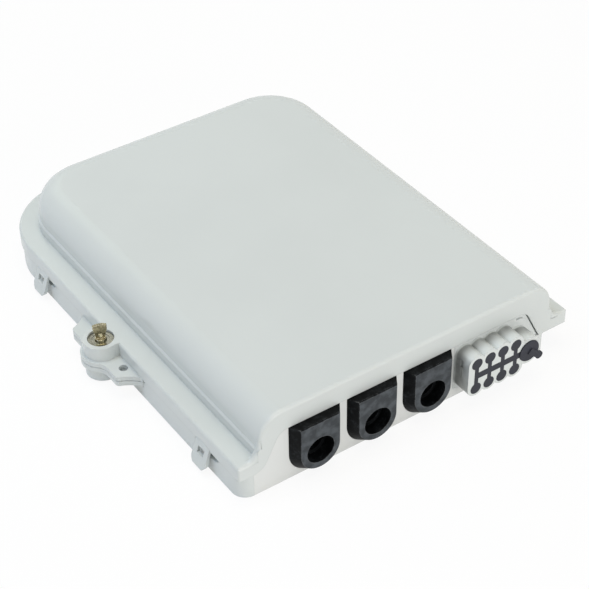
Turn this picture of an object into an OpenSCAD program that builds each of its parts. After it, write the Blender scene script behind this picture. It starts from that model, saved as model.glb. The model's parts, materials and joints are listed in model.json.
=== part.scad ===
// Wall-mounted fibre termination box with a hinged, locked cover, three cable grommets,
// an eight-way drop-cable port block, a splice tray and a row of eight SC adapters.
// It lies on its back: Z up through the cover, X across (lock side negative, hinge side positive),
// Y along the box (cable entries at the negative end). The origin is on the back face. Millimetres.

/* [Cover] */
// Width over the cover's two long skirts
cover_w = 181; // [178:0.5:186]
// Length of the box from the cable face to the far end
box_l = 227; // [222:0.5:234]
// Height of the cover's top face above the wall
dome_top = 41.6; // [40:0.2:46]
// Height of the flange's top face above the wall
flange_top = 20; // [19.4:0.2:21]
// Height of the skirt's lower edge above the wall
skirt_bottom = 12.8; // [12:0.1:13.2]
// Width of the flange from the skirt's outer face to the dome's plinth
flange_w = 10; // [9.5:0.1:10.6]
// Corner radius of the flange at the far end
corner_r = 39.3; // [36:0.1:42]
// Wall thickness of the cover
cover_wall = 2.4; // [2:0.1:2.8]
// Thickness of the cover's skirt
skirt_t = 2.2; // [1.9:0.1:2.4]
// Radius of the dome's long upper edge
dome_r = 12; // [9:0.5:14]
// Height of the plinth at the dome's foot
plinth_h = 4.6; // [3:0.1:6]
// Step from the plinth to the dome's side
plinth_step = 0.9; // [0.5:0.1:1.4]
// Rounding of the flange's outer edge
flange_edge_r = 1.2; // [0.6:0.1:1.6]
// Rounding of the cover's edge over the cable face
front_edge_r = 1.6; // [0.8:0.1:2]

/* [Base] */
// How far the cover overhangs the base on the hinge side
hinge_overhang = 11.3; // [10.8:0.1:11.8]
// How far the base sits inside the cover's skirt line
base_inset = 0.8; // [0.5:0.1:1]
// How far the base's cable face sits behind the cover's
front_inset = 0.3; // [0.1:0.1:0.5]
// Wall thickness of the base
base_wall = 2.5; // [2.2:0.1:2.8]
// Thickness of the base's floor
floor_t = 2.5; // [2.2:0.1:3]
// Rounding of the base's lower edge
foot_r = 0.8; // [0.6:0.1:1.4]
// Corner radius of the base at the cable face, lock side
near_left_r = 7; // [5:0.5:8]
// Corner radius of the base at the cable face, hinge side
near_right_r = 5; // [4:0.5:5.5]
// Corner radius of the base at the far end, hinge side
far_right_r = 34; // [31:0.5:36]
// Thickness of the sealing rim
rim_t = 2; // [1.6:0.1:2.2]
// Offset of the sealing rim from the base's outer face
rim_step = 1.9; // [1.7:0.1:2.1]
// Thickness of the gasket
gasket_t = 1.2; // [0.9:0.1:1.5]
// Height of the raised cable face above the wall
arch_top = 30.1; // [29.8:0.1:31]
// Slope of the raised cable face's two ends
arch_angle = 63; // [58:1:68]
// Distance of the raised face's lock-side foot from the cover's skirt line
arch_in_left = 12.5; // [11.5:0.5:13]
// Distance of the raised face's hinge-side foot from the cover's skirt line
arch_in_right = 16.7; // [16.5:0.1:17.5]
// Hollow rounding of the raised face's lock-side foot
arch_foot_r = 8; // [5:0.5:9]
// Rounding of the raised face's upper corners
arch_round = 6; // [4:0.5:8]
// Gap along the parting line between base and cover
part_gap = 0.3; // [0.3:0.05:0.4]

/* [Grommets] */
// Distance between neighbouring cable grommets
grommet_pitch = 30.2; // [29.9:0.1:31]
// Place of the middle grommet across the box
grommet_mid_x = -21.4; // [-23:0.1:-20.8]
// Half width of a grommet notch, and the radius of its round bottom
notch_r = 13.2; // [12.6:0.1:13.4]
// Height of the cable axis above the wall
cable_z = 14; // [13.9:0.1:14.6]
// Radius of a grommet's cable bore
cable_bore_r = 7; // [5.5:0.1:7.4]
// How far a grommet stands out of the cable face
grommet_out = 4.8; // [3.5:0.1:5.5]
// How much a grommet's nose narrows on each side
grommet_taper = 3.2; // [2:0.1:3.6]
// Fit between rubber or insert and the wall around it
seat_fit = 0.1; // [0.05:0.05:0.15]

/* [Drop ports] */
// Distance between neighbouring drop ports
port_pitch = 7.43; // [7.3:0.01:7.5]
// Place of the first drop port across the box
port_x = 29; // [28.8:0.1:29.2]
// Height of the upper row of drop ports
port_top_z = 24.6; // [24:0.1:24.8]
// Height of the lower row of drop ports
port_bottom_z = 10.4; // [10.2:0.1:11]
// Radius of a drop port
port_r = 3; // [2.6:0.1:3.1]
// Wall around a drop port
port_wall = 1.7; // [1.4:0.1:1.8]
// Radius of the large round port
big_port_r = 5.6; // [5:0.1:5.8]
// Width of the upright slits that join the two rows
slit_w = 2.3; // [1.8:0.1:2.6]
// Height of the long slit between the rows
bar_h = 3.5; // [2.8:0.1:4]
// How far the port block stands out of the cable face
block_out = 10; // [8:0.5:12]

/* [Lock] */
// Distance of the lock's axis outside the cover's skirt
lock_out = 4.7; // [4.5:0.1:5]
// Place of the lock along the box
lock_y = -6; // [-15:1:5]
// Outer radius of the lock's boss
boss_r = 8.5; // [8.2:0.1:9]
// Radius of the lock's head
lock_head_r = 6; // [5.6:0.1:6.1]
// Radius of the threaded lock body
lock_body_r = 4.4; // [4.2:0.1:4.6]
// Radius of the lock's rotor
rotor_r = 3; // [2.8:0.1:3.2]
// Height of the cover's ear plate above the wall
ear_top = 12.7; // [12.5:0.1:13]
// Thickness of the cover's ear plate
ear_t = 2.2; // [2:0.1:2.4]
// Thickness of the base's ear plate
base_ear_t = 2.6; // [2.4:0.1:2.8]
// Radius of the seal hole through both ears
seal_hole_r = 2.1; // [1.6:0.1:2.3]
// Turn of the key slot at rest
key_angle = -20; // [-40:1:0]

/* [Hinge] */
// Height of the hinge axis above the wall
hinge_z = 11; // [10.8:0.1:11.2]
// Distance of the hinge axis inside the cover's skirt line
hinge_in = 5; // [4.9:0.1:5.2]
// Outer radius of a hinge knuckle
knuckle_r = 2.4; // [2.2:0.1:2.5]
// Radius of the hinge pins
pin_r = 1.2; // [1:0.05:1.3]
// Length of the cover's knuckle
knuckle_l = 12; // [8:1:16]

/* [Inside] */
// Radius of the wall-screw holes
wall_screw_r = 2.5; // [2:0.1:2.7]
// Place of the wall screws' middle across the box
wall_screw_mid_x = -5; // [-6:0.5:-4]
// Place of the wall screws' middle along the box
wall_screw_mid_y = 9; // [6:1:12]
// Distance between wall-screw holes across the box
wall_screw_x = 148; // [146:0.5:149]
// Distance between wall-screw holes along the box
wall_screw_y = 150; // [146:0.5:152]
// Distance between neighbouring adapters
adapter_pitch = 11.6; // [11.4:0.1:11.8]
// Height of the splice tray's underside above the wall
tray_z = 12; // [10:0.5:13]
// Height of the splice tray's wall
tray_wall_h = 9; // [7:0.5:11]
// Width of the splice tray
tray_w = 132; // [128:1:134]
// Length of the splice tray
tray_l = 108; // [104:1:110]

/* [Hidden] */
adapter_count = 8;

$fn = 64;
eps = 0.01;
// reach of a cut that goes right out of the part
reach = box_l;

// outlines of the two shells
x_l = -cover_w / 2;
x_r = cover_w / 2;
y_f = -box_l / 2;
y_b = box_l / 2;
base_xl = x_l + base_inset;
base_xr = x_r - hinge_overhang;
base_yf = y_f + front_inset;
base_yb = y_b - base_inset;
base_r = corner_r - base_inset;
rim_xl = base_xl + rim_step;
rim_yb = base_yb - rim_step;
rim_r = base_r - rim_step;
inner_yf = base_yf + base_wall;
wall_x0 = base_xl + near_left_r;
wall_x1 = base_xr - near_right_r;

// heights
under_flange = flange_top - cover_wall;
rim_top = under_flange - gasket_t - 0.1;
ledge_z = skirt_bottom - part_gap;
side_u = flange_w + plinth_step;
plinth_top = flange_top + plinth_h;
shoulder_z = dome_top - dome_r;

// lock
lock_x = x_l - lock_out;
ear_bottom = ear_top - ear_t;
base_ear_top = ear_bottom - part_gap;
cup_ceiling = base_ear_top - base_ear_t - 0.4;
cup_bottom = 1;
cup_r = boss_r - 0.2;
cup_bore_r = cup_r - 1.5;
head_seat_z = flange_top - 4.4;
head_bore_r = lock_head_r + 0.2;
body_bore_r = lock_body_r + 0.1;
nut_r = 6;
nut_t = 2;
nut_seat_z = ear_bottom + nut_t + 0.4;
barrel_bottom = cup_ceiling + 0.6;
cam_t = 2;
cam_top = cup_ceiling - 0.3;
cam_half = cup_bore_r - 0.5;
cam_w = 4.4;
ear_x = x_l - 9;
ear_y = 27;

// hinge
hinge_x = x_r - hinge_in;
hinge_ys = [-62, 46];
knuckle_gap = 0.4;
base_knuckle_l = 6;

// snap tabs
tab_ys = [-85.8, 60];
tab_w = 11;
tab_foot_z = 2;
tab_out = 4;
tab_t = 1.8;

// grommets and port block
grommet_xs = [for (i = [-1:1]) grommet_mid_x + i * grommet_pitch];
tube_r = port_r + port_wall;
port_xs = [for (i = [0:3]) port_x + i * port_pitch];
bar_z = (port_top_z + port_bottom_z) / 2;
big_port_x = port_xs[3] + tube_r + big_port_r - 2.3;
big_tube_r = big_port_r + port_wall - 0.2;
block_left = port_x - tube_r - 0.3;
block_right = big_port_x + big_tube_r + 2;
low_tube_z = port_bottom_z + 0.7;
block_sill = low_tube_z - tube_r - 1.2;
plate_y = inner_yf + seat_fit;
plate_t = 2.2;
block_front_y = base_yf - block_out;

// inside furniture
screw_xs = [for (side = [-1, 1]) wall_screw_mid_x + side * wall_screw_x / 2];
screw_ys = [for (side = [-1, 1]) wall_screw_mid_y + side * wall_screw_y / 2];
clamp_y = inner_yf + 13.7;
clamp_l = 8;
clamp_seat_z = cable_z - cable_bore_r + 0.8;
clamp_hole_x = 10.9;
post_y = inner_yf + 26.7;
post_top = 10;
adapter_w = 9.3;
adapter_h = 12.8;
adapter_l = 27.4;
adapter_z = 16.4;
adapter_flange_w = 10.8;
adapter_flange_h = 22;
adapter_flange_t = 2;
bracket_t = 2.6;
bracket_w = adapter_pitch * adapter_count + 6;
row_mid_x = base_xr - base_wall - 0.3 - bracket_w / 2;
adapter_x0 = row_mid_x - adapter_pitch * (adapter_count - 1) / 2;
tray_x = -7;
tray_y = base_yb - 18.7 - tray_l / 2;
adapter_y = tray_y - tray_l / 2 - 22;
adapter_flange_y = adapter_y - bracket_t - adapter_flange_t;
adapter_front_y = adapter_flange_y + adapter_flange_t - adapter_l / 2 - 1;
adapter_hole_dz = adapter_flange_h / 2 - 2.3;
bracket_h = adapter_z + adapter_flange_h / 2 + 1 - floor_t;
tray_floor_t = 1.8;
tray_r = 24;
tray_screw_dx = tray_w / 2 - 11.5;
tray_screw_dy = tray_l / 2 - 11.5;
spool_r = 17;
spool_dx = tray_w / 2 - spool_r - 9;
comb_y = inner_yf + 22.7;
comb_seat_z = 6;
comb_mid_x = (port_xs[0] + port_xs[3]) / 2;
comb_half = 2 * port_pitch + 6;
splice_pitch = 4.4;
screw_r = 1.3;
adapter_screw_r = 0.9;

function comb_hole_x(side) = comb_mid_x + side * (comb_half - 1.5);
function adapter_x(i) = adapter_x0 + (i - 1) * adapter_pitch;
function bracket_x(side) = row_mid_x + side * (bracket_w / 2 - 5);

// ---------------------------------------------------------------- sweeps

// Carries a section along Y. The section's x runs inwards from the face at x.
module side_run(x, y0, y1, inwards) {
  translate([x, y1, 0])
    if (inwards > 0) rotate([90, 0, 0]) linear_extrude(y1 - y0) children();
    else mirror([1, 0, 0]) rotate([90, 0, 0]) linear_extrude(y1 - y0) children();
}

// Carries a section along X. The section's x runs inwards from the face at y.
module end_run(y, x0, x1, inwards) {
  translate([x0, y, 0])
    if (inwards > 0) rotate([90, 0, 90]) linear_extrude(x1 - x0) children();
    else mirror([0, 1, 0]) rotate([90, 0, 90]) linear_extrude(x1 - x0) children();
}

// Turns a section through a quarter circle whose outer face has radius r.
module corner_run(x, y, r, start) {
  translate([x, y, 0])
    rotate([0, 0, start])
      rotate_extrude(angle = 90, $fn = 128)
        translate([r, 0]) mirror([1, 0]) children();
}

// Screw with a round head and a cross recess, its head's seat at z = 0.
module pan_screw(shank_r, shank_l, head_r, head_h) {
  difference() {
    union() {
      translate([0, 0, -shank_l]) cylinder(r = shank_r, h = shank_l + eps);
      cylinder(r = head_r, h = head_h);
    }
    for (a = [0, 90])
      translate([0, 0, head_h]) rotate([0, 0, a]) cube([head_r * 1.2, 0.7, head_h * 1.1], center = true);
  }
}

// ---------------------------------------------------------------- cover

// Wall of the cover: skirt, flange, plinth, side, rounded shoulder and half of the top.
module cover_section() {
  translate([0, skirt_bottom]) square([skirt_t, flange_top - flange_edge_r - skirt_bottom]);
  translate([flange_edge_r, under_flange]) square([side_u + cover_wall - flange_edge_r, cover_wall]);
  translate([flange_edge_r, flange_top - flange_edge_r]) circle(flange_edge_r, $fn = 48);
  translate([flange_w, under_flange]) square([plinth_step + cover_wall, plinth_top - under_flange]);
  polygon([
    [flange_w, plinth_top - eps], [side_u, plinth_top + plinth_step],
    [side_u + cover_wall, plinth_top + plinth_step], [side_u + cover_wall, plinth_top - eps]]);
  translate([side_u, plinth_top]) square([cover_wall, shoulder_z - plinth_top]);
  translate([side_u + dome_r, shoulder_z])
    intersection() {
      difference() {
        circle(dome_r, $fn = 96);
        circle(dome_r - cover_wall, $fn = 96);
      }
      translate([-dome_r, 0]) square(dome_r);
    }
  translate([side_u + dome_r, dome_top - cover_wall]) square([corner_r - side_u - dome_r, cover_wall]);
}

// Half of the cover's filled outline, seen along the box.
module cover_half_outline() {
  half = cover_w / 2 + eps;
  translate([0, skirt_bottom]) square([half, flange_top - flange_edge_r - skirt_bottom]);
  translate([flange_edge_r, skirt_bottom]) square([half - flange_edge_r, flange_top - skirt_bottom]);
  translate([flange_edge_r, flange_top - flange_edge_r]) circle(flange_edge_r, $fn = 48);
  translate([flange_w, skirt_bottom]) square([half - flange_w, plinth_top - skirt_bottom]);
  polygon([
    [flange_w, plinth_top - eps], [side_u, plinth_top + plinth_step],
    [half, plinth_top + plinth_step], [half, plinth_top - eps]]);
  translate([side_u, skirt_bottom]) square([half - side_u, shoulder_z - skirt_bottom]);
  translate([side_u + dome_r, shoulder_z]) circle(dome_r, $fn = 96);
  translate([side_u + dome_r, skirt_bottom]) square([half - side_u - dome_r, dome_top - skirt_bottom]);
}

// Outline of the raised cable face, grown by g, as a profile across the box.
module arch_profile(g, low) {
  z0 = ledge_z + g;
  top = arch_top + g;
  round_r = arch_round + g;
  shift = g * tan(arch_angle / 2);
  drop = (z0 - low) / tan(arch_angle);
  rise_x = (top - round_r - z0) / tan(arch_angle) + round_r / sin(arch_angle);
  tx = round_r * sin(arch_angle);
  tz = round_r * cos(arch_angle);
  for (side = [-1, 1]) {
    foot = side < 0 ? x_l + arch_in_left - shift : x_r - arch_in_right + shift;
    cx = foot - side * rise_x;
    polygon([
      [foot + side * drop, low], [foot, z0], [cx + side * tx, top - round_r + tz], [cx, top],
      [0, top], [0, low]]);
    translate([cx, top - round_r]) circle(round_r);
    fillet_r = (side < 0 ? arch_foot_r : 1.6) - g;
    run = fillet_r * tan(arch_angle / 2);
    difference() {
      polygon([
        [foot + side * run, z0], [foot + side * run, z0 - eps], [foot - side, z0 - eps],
        [foot - side * run * cos(arch_angle), z0 + run * sin(arch_angle)]]);
      translate([foot + side * run, z0 + fillet_r]) circle(fillet_r, $fn = 96);
    }
  }
}

// Square with a round bitten out of it, for rounding an outer edge of radius r.
module edge_bite(r) {
  difference() {
    translate([0, 0]) square(r + 1);
    circle(r, $fn = 48);
  }
}

// Removes the sharp edge where the dome and the flange meet the cable face.
module front_edge_cut() {
  r = front_edge_r;
  turn_r = dome_r - r;
  mid_x = cover_w / 2 - side_u - dome_r;
  translate([-mid_x, y_f + r, dome_top - r])
    rotate([90, 0, 90]) linear_extrude(2 * mid_x) mirror([1, 0]) edge_bite(r);
  for (side = [0, 1])
    mirror([side, 0, 0]) {
      translate([mid_x, y_f + r, shoulder_z])
        rotate([90, 0, 0]) rotate_extrude(angle = 90, $fn = 96)
          translate([turn_r, 0]) edge_bite(r);
      translate([mid_x + turn_r, y_f + r, plinth_top + plinth_step])
        linear_extrude(shoulder_z - plinth_top - plinth_step) mirror([0, 1]) edge_bite(r);
      translate([cover_w / 2 - flange_w, y_f + r, flange_top - r])
        rotate([90, 0, 90]) linear_extrude(flange_w + 1) mirror([1, 0]) edge_bite(r);
      translate([cover_w / 2 - flange_edge_r, y_f + flange_edge_r, skirt_bottom - 1])
        linear_extrude(flange_top - skirt_bottom + 2) mirror([0, 1]) edge_bite(flange_edge_r);
    }
}

// Opening of the cover around the raised cable face, through the end wall and a little past it.
module arch_opening() {
  depth = inner_yf + part_gap - y_f;
  translate([0, y_f + depth, 0])
    rotate([90, 0, 0]) linear_extrude(depth + 1) arch_profile(part_gap, skirt_bottom - 2);
}

module cover_hinge_arm(y) {
  translate([hinge_x, y + knuckle_l / 2, hinge_z])
    rotate([90, 0, 0])
      linear_extrude(knuckle_l)
        difference() {
          union() {
            circle(knuckle_r);
            translate([-knuckle_r, 0]) square([2 * knuckle_r, under_flange - hinge_z + eps]);
            translate([0, skirt_bottom - hinge_z])
              square([hinge_in - skirt_t + eps, under_flange - skirt_bottom + eps]);
          }
          circle(pin_r + 0.08);
        }
}

// Plan of the ear plates: a disc about the lock with two waisted wings.
module ear_plan() {
  wave_r = 8;
  disc_r = boss_r + 1.5;
  wave_x = ear_x - wave_r;
  wave_dy = sqrt(pow(disc_r + wave_r, 2) - pow(lock_x - wave_x, 2));
  share = disc_r / (disc_r + wave_r);
  tip_r = 2.4;
  end_r = 21;
  inner_x = x_l + 0.5;
  translate([lock_x, lock_y]) circle(disc_r);
  for (side = [0, 1])
    translate([0, lock_y])
      mirror([0, side]) {
        difference() {
          polygon([
            [base_xl, 0], [lock_x, 0],
            [lock_x + (wave_x - lock_x) * share, wave_dy * share], [ear_x, wave_dy],
            [ear_x, ear_y - 7.8], [ear_x + 1.3, ear_y - 5.5], [inner_x, ear_y + 2.4],
            [base_xl, ear_y + 2.4]]);
          translate([wave_x, wave_dy]) circle(wave_r, $fn = 96);
          translate([ear_x - 6.9, ear_y + 13.6]) circle(end_r, $fn = 128);
        }
        translate([ear_x + tip_r, ear_y - 7.8]) circle(tip_r);
      }
}

module ear_plate(z0, t, inner_x) {
  difference() {
    translate([0, 0, z0]) linear_extrude(t) ear_plan();
    translate([inner_x, lock_y - reach, z0 - 1]) cube([reach, 2 * reach, t + 2]);
  }
}

module lock_boss() {
  boss_h = flange_top - ear_bottom;
  difference() {
    union() {
      translate([lock_x, lock_y, ear_bottom]) cylinder(r = boss_r, h = boss_h);
      translate([lock_x, lock_y - boss_r + 0.4, ear_bottom])
        cube([x_l - lock_x + skirt_t, 2 * boss_r - 0.8, boss_h]);
      ear_plate(ear_bottom, ear_t, x_l + eps);
      translate([x_l, lock_y - ear_y - 1.5, ear_bottom])
        cube([skirt_t, 2 * ear_y + 3, skirt_bottom - ear_bottom + eps]);
    }
    translate([x_l + skirt_t, lock_y - reach, 0]) cube([reach, 2 * reach, reach]);
  }
}

module lock_bores() {
  translate([lock_x, lock_y, head_seat_z]) cylinder(r = head_bore_r, h = reach);
  translate([lock_x, lock_y, 0]) cylinder(r = body_bore_r, h = reach);
  translate([lock_x, lock_y, 0]) cylinder(r = nut_r + 0.2, h = nut_seat_z);
}

module seal_hole() {
  translate([x_l - 3, lock_y - 16.7, 0]) cylinder(r = seal_hole_r, h = reach);
}

// Snap tab on the skirt, leaning out, with a round foot and a window for the base's catch.
module snap_tab(y) {
  tab_r = 4.2;
  top_z = skirt_bottom + 2.5;
  difference() {
    intersection() {
      translate([0, y + tab_w / 2, 0])
        rotate([90, 0, 0])
          linear_extrude(tab_w)
            polygon([
              [x_l + 0.8, top_z], [x_l - 0.5, skirt_bottom + 0.4],
              [x_l - tab_out, tab_foot_z + 0.6], [x_l - tab_out + 0.5, tab_foot_z],
              [x_l - tab_out + tab_t, tab_foot_z], [x_l + 0.2, skirt_bottom - 1.4], [x_l + 0.8, skirt_bottom]]);
      translate([x_l - 10, y, 0])
        rotate([90, 0, 90])
          linear_extrude(14) {
            translate([-tab_w / 2, tab_foot_z + tab_r]) square([tab_w, 20]);
            translate([tab_r - tab_w / 2, tab_foot_z]) square([tab_w - 2 * tab_r, 20]);
            for (side = [-1, 1])
              translate([side * (tab_w / 2 - tab_r), tab_foot_z + tab_r]) circle(tab_r, $fn = 48);
          }
    }
    translate([x_l - 8, y - 2.4, 8.2]) cube([9, 4.8, 3.2]);
  }
}

module cover_shell() {
  color("gainsboro")
    difference() {
      union() {
        side_run(x_l, y_f, y_b - corner_r, 1) cover_section();
        side_run(x_r, y_f, y_b - corner_r, -1) cover_section();
        end_run(y_b, x_l + corner_r, x_r - corner_r, -1) cover_section();
        corner_run(x_l + corner_r, y_b - corner_r, corner_r, 90) cover_section();
        corner_run(x_r - corner_r, y_b - corner_r, corner_r, 0) cover_section();
        translate([x_l + corner_r - eps, y_f, dome_top - cover_wall])
          cube([cover_w - 2 * corner_r + 2 * eps, box_l - corner_r + eps, cover_wall]);
        translate([0, y_f + cover_wall, 0])
          rotate([90, 0, 0])
            linear_extrude(cover_wall)
              for (side = [0, 1]) mirror([side, 0]) translate([x_l, 0]) cover_half_outline();
        for (y = hinge_ys) cover_hinge_arm(y);
        for (y = tab_ys) snap_tab(y);
        lock_boss();
      }
      arch_opening();
      front_edge_cut();
      lock_bores();
      seal_hole();
    }
}

module cover_gasket() {
  y0 = y_f + cover_wall + 0.4;
  color("dimgray") {
    side_run(rim_xl, y0, rim_yb - rim_r, 1) gasket_section();
    side_run(base_xr, y0, rim_yb - far_right_r, -1) gasket_section();
    end_run(rim_yb, rim_xl + rim_r, base_xr - far_right_r, -1) gasket_section();
    corner_run(rim_xl + rim_r, rim_yb - rim_r, rim_r, 90) gasket_section();
    corner_run(base_xr - far_right_r, rim_yb - far_right_r, far_right_r, 0) gasket_section();
  }
}

module gasket_section() {
  translate([0.1, under_flange - gasket_t]) square([rim_t - 0.2, gasket_t]);
}

// ---------------------------------------------------------------- base

module base_section() {
  translate([0, foot_r]) square([base_wall, ledge_z - foot_r]);
  translate([foot_r, 0]) square([base_wall - foot_r, floor_t]);
  intersection() {
    translate([foot_r, foot_r]) circle(foot_r, $fn = 48);
    square(foot_r);
  }
}

module rim_section() {
  haunch = rim_t + rim_step - base_wall;
  polygon([
    [0, rim_top], [rim_t, rim_top], [rim_t, ledge_z - 2], [rim_t - haunch, ledge_z - 2 - haunch],
    [0, ledge_z - 2 - haunch]]);
}

module floor_plan() {
  i = foot_r;
  x0 = base_xl + i;
  x1 = base_xr - i;
  y0 = base_yf + i;
  y1 = base_yb - i;
  left_r = base_r - i;
  right_r = far_right_r - i;
  near_l = near_left_r - i;
  near_r = near_right_r - i;
  difference() {
    union() {
      translate([x0, y0 + near_l]) square([x1 - x0, y1 - left_r - y0 - near_l]);
      translate([x0 + near_l, y0]) square([x1 - near_r - x0 - near_l, near_l + 1]);
      translate([x1 - near_r - 5, y0 + near_r]) square([near_r + 5, near_l + 1]);
      translate([x0 + left_r, y1 - left_r - 1]) square([x1 - right_r - x0 - left_r, left_r + 1]);
      translate([x1 - right_r - 1, y1 - left_r - 1]) square([right_r + 1, left_r - right_r + 1]);
      translate([x0 + near_l, y0 + near_l]) circle(near_l);
      translate([x1 - near_r, y0 + near_r]) circle(near_r);
      translate([x0 + left_r, y1 - left_r]) circle(left_r, $fn = 128);
      translate([x1 - right_r, y1 - right_r]) circle(right_r, $fn = 128);
    }
    translate([wall_x0, base_yf]) square([wall_x1 - wall_x0, base_wall]);
  }
}

// Walls of the base, all round but for the cable wall.
module base_walls() {
  side_run(base_xl, base_yf + near_left_r, base_yb - base_r, 1) base_section();
  side_run(base_xr, base_yf + near_right_r, base_yb - far_right_r, -1) base_section();
  end_run(base_yb, base_xl + base_r, base_xr - far_right_r, -1) base_section();
  corner_run(base_xl + base_r, base_yb - base_r, base_r, 90) base_section();
  corner_run(base_xr - far_right_r, base_yb - far_right_r, far_right_r, 0) base_section();
  corner_run(base_xl + near_left_r, base_yf + near_left_r, near_left_r, 180) base_section();
  corner_run(base_xr - near_right_r, base_yf + near_right_r, near_right_r, 270) base_section();
}

module base_rim() {
  y0 = y_f + cover_wall + 0.4;
  side_run(rim_xl, y0, rim_yb - rim_r, 1) rim_section();
  side_run(base_xr, y0, rim_yb - far_right_r, -1) rim_section();
  end_run(rim_yb, rim_xl + rim_r, base_xr - far_right_r, -1) rim_section();
  corner_run(rim_xl + rim_r, rim_yb - rim_r, rim_r, 90) rim_section();
  corner_run(base_xr - far_right_r, rim_yb - far_right_r, far_right_r, 0) rim_section();
}

// Notch for one grommet: straight sides and a round bottom.
module notch_shape(r, top) {
  circle(r);
  translate([-r, 0]) square([2 * r, top]);
}

// Opening for the port block, seen along the box, shrunk by g.
module block_window(g) {
  translate([block_left + g, block_sill + g]) square([block_right - block_left - 2 * g, arch_top]);
  translate([block_left + g, ledge_z + g]) square([base_xr - block_left, arch_top]);
}

module base_hinge(y) {
  span = knuckle_l / 2 + knuckle_gap;
  for (side = [0, 1])
    translate([hinge_x, y, hinge_z])
      mirror([0, side, 0])
        translate([0, -span, 0])
          rotate([90, 0, 0])
            linear_extrude(base_knuckle_l)
              difference() {
                union() {
                  circle(knuckle_r);
                  translate([base_xr - 1 - hinge_x, -knuckle_r])
                    square([hinge_x - base_xr + 1, 2 * knuckle_r - 1.2]);
                }
                circle(pin_r + 0.05);
              }
}

// Openings of the cable wall: the grommets' notches and the port block's window.
module cable_cuts() {
  for (x = grommet_xs)
    translate([x, inner_yf + 1, cable_z])
      rotate([90, 0, 0]) linear_extrude(base_wall + 2) notch_shape(notch_r, arch_top);
  translate([0, inner_yf + 1, 0])
    rotate([90, 0, 0]) linear_extrude(base_wall + 2) block_window(0);
}

module base_lock_cuts() {
  slot_w = cam_w + 1;
  slot_l = 2 * cam_half + 1;
  translate([lock_x, lock_y, cup_bottom + 1.2])
    cylinder(r = cup_bore_r, h = cup_ceiling - cup_bottom - 1.2);
  translate([lock_x, lock_y, cup_ceiling - eps]) cylinder(r = lock_body_r + 0.7, h = 10);
  translate([lock_x - slot_w / 2, lock_y - slot_l / 2, cup_ceiling - eps]) cube([slot_w, slot_l, 10]);
}

// Recess in the wall behind a snap tab, with its catch.
module tab_recess(y) {
  translate([base_xl - 1, y, 0])
    rotate([90, 0, 90])
      linear_extrude(1 + 1.3)
        polygon([
          [-tab_w / 2 - 9, ledge_z + 1], [-tab_w / 2 - 2.5, 8.6], [tab_w / 2 + 2.5, 8.6],
          [tab_w / 2 + 2.5, ledge_z + 1]]);
}

module tab_catch(y) {
  translate([base_xl + 1.4, y + 1.9, 0])
    rotate([90, 0, 0])
      linear_extrude(3.8)
        polygon([[0, 8], [-1.9, 9.2], [-1.9, 9.9], [0, ledge_z]]);
}

// Moulded post for a self-tapping screw.
module screw_post(x, y, r, top) {
  difference() {
    translate([x, y, floor_t]) cylinder(r = r, h = top - floor_t);
    translate([x, y, floor_t - 1]) cylinder(r = screw_r, h = top);
  }
}

module clamp_cradle(x) {
  difference() {
    translate([x - 13.4, clamp_y - clamp_l / 2, floor_t])
      cube([26.8, clamp_l, clamp_seat_z - floor_t]);
    translate([x, clamp_y + clamp_l, cable_z])
      rotate([90, 0, 0]) cylinder(r = cable_bore_r + 0.4, h = 2 * clamp_l);
    for (side = [-1, 1])
      translate([x + side * clamp_hole_x, clamp_y, floor_t + 0.5]) cylinder(r = screw_r, h = reach);
  }
}

// Hook that holds fibre slack against the floor.
module fibre_hook(x, y, turn) {
  translate([x, y, floor_t])
    rotate([0, 0, turn]) {
      translate([-1, -4, 0]) cube([2, 8, 8]);
      translate([-1, -4, 6.4]) cube([8, 8, 1.6]);
      translate([5.4, -4, 4.6]) cube([1.6, 8, 2]);
    }
}

// The base is one moulding in four solids that meet face to face: tray, cable wall, ear, fittings.
module base_shell() {
  color("whitesmoke")
    difference() {
      union() {
        difference() {
          union() {
            linear_extrude(floor_t) floor_plan();
            base_walls();
          }
          cable_cuts();
          translate([base_xl - 5, lock_y - ear_y - 2, base_ear_top])
            cube([5 + base_wall - 0.8, 2 * ear_y + 4, ledge_z]);
          for (y = tab_ys) tab_recess(y);
        }
        base_rim();
        for (y = tab_ys) tab_catch(y);
        for (y = hinge_ys) base_hinge(y);
        for (x = screw_xs, y = screw_ys) translate([x, y, 0]) cylinder(r = 6, h = 6.5);
      }
      base_lock_cuts();
      for (x = screw_xs, y = screw_ys) {
        translate([x, y, -1]) cylinder(r = wall_screw_r, h = reach);
        translate([x, y, 4]) cylinder(r = wall_screw_r + 2.2, h = reach);
      }
    }
}

// Front wall between the near corners, raised over the cables.
module cable_wall() {
  color("whitesmoke")
    difference() {
      union() {
        end_run(base_yf, wall_x0, wall_x1, 1) base_section();
        translate([0, inner_yf, 0])
          rotate([90, 0, 0])
            linear_extrude(base_wall)
              intersection() {
                arch_profile(0, ledge_z - 1);
                translate([wall_x0, 0]) square([wall_x1 - wall_x0, reach]);
              }
      }
      cable_cuts();
    }
}

// Ear on the base under the cover's ear, with the cup that the lock's cam turns in.
module base_ear() {
  color("whitesmoke")
    difference() {
      union() {
        ear_plate(base_ear_top - base_ear_t, base_ear_t, base_xl);
        difference() {
          translate([lock_x, lock_y, cup_bottom])
            cylinder(r = cup_r, h = base_ear_top - cup_bottom - eps);
          translate([base_xl, lock_y - cup_r, 0]) cube([cup_r, 2 * cup_r, base_ear_top]);
        }
      }
      base_lock_cuts();
      seal_hole();
    }
}

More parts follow.
